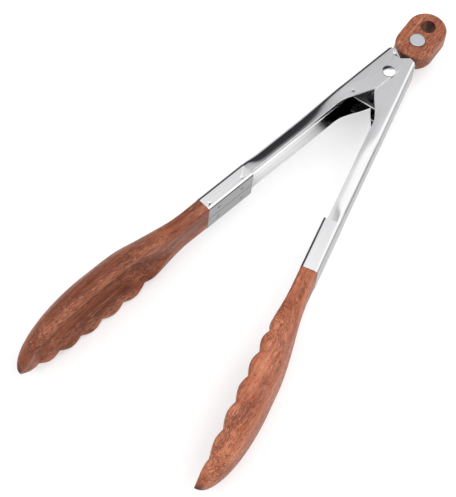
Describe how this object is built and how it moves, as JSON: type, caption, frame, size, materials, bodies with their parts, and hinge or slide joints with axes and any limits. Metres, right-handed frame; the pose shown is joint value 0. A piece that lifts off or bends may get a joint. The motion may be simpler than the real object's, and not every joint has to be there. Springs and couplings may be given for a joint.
{
  "type": "spring loaded kitchen tongs",
  "caption": "Locking kitchen tongs: two steel channel arms on a sprung rivet, spoon-shaped wooden heads with a toothed rim, and a wooden pull tab with a hanging hole.",
  "frame": {"origin": "centre of the bottom of the box around the open tongs as they lie on one side, on the heads' rims", "axes": "+Z along the pivot rivet, +Y along the bisector of the arms towards the pull tab, left arm at -X"},
  "size_m": [0.1178, 0.3028, 0.0406],
  "materials": {
    "arm_steel": "polished, faintly brushed",
    "head_wood": "oiled, open grain",
    "pivot_steel": "polished",
    "bush_steel": "turned",
    "spring_steel": "drawn wire",
    "plate_steel": "stamped, satin",
    "tab_wood": "oiled, open grain",
    "tab_rivet_steel": "satin"
  },
  "bodies": {
    "pivot": {"pivot_rivet": "pivot_steel", "spacer_bush": "bush_steel", "torsion_spring": "spring_steel"},
    "left_jaw": {"left_arm": "arm_steel", "left_head": "head_wood"},
    "right_jaw": {"right_arm": "arm_steel", "right_head": "head_wood"},
    "lock": {"lock_plate": "plate_steel", "pull_tab": "tab_wood", "tab_rivet_front": "tab_rivet_steel", "tab_rivet_back": "tab_rivet_steel"}
  },
  "joints": [
    {"name": "left_jaw_hinge", "type": "hinge", "parent": "pivot", "child": "left_jaw", "pos_m": [0, 0.09939, 0.0203], "axis": [0, 0, 1], "range_deg": [0, 11.15], "stiffness_Nm_per_rad": 1, "springref_deg": -11.46, "deforming": ["torsion_spring"]},
    {"name": "right_jaw_hinge", "type": "hinge", "parent": "pivot", "child": "right_jaw", "pos_m": [0, 0.09939, 0.0203], "axis": [0, 0, 1], "range_deg": [-11.15, 0], "stiffness_Nm_per_rad": 1, "springref_deg": 11.46},
    {"name": "tab_slide", "type": "slide", "parent": "pivot", "child": "lock", "axis": [0, 1, 0], "range_m": [0, 0.012]}
  ],
  "couplings": [
    {"joint": "right_jaw_hinge", "follows": "left_jaw_hinge", "ratio": -1}
  ]
}
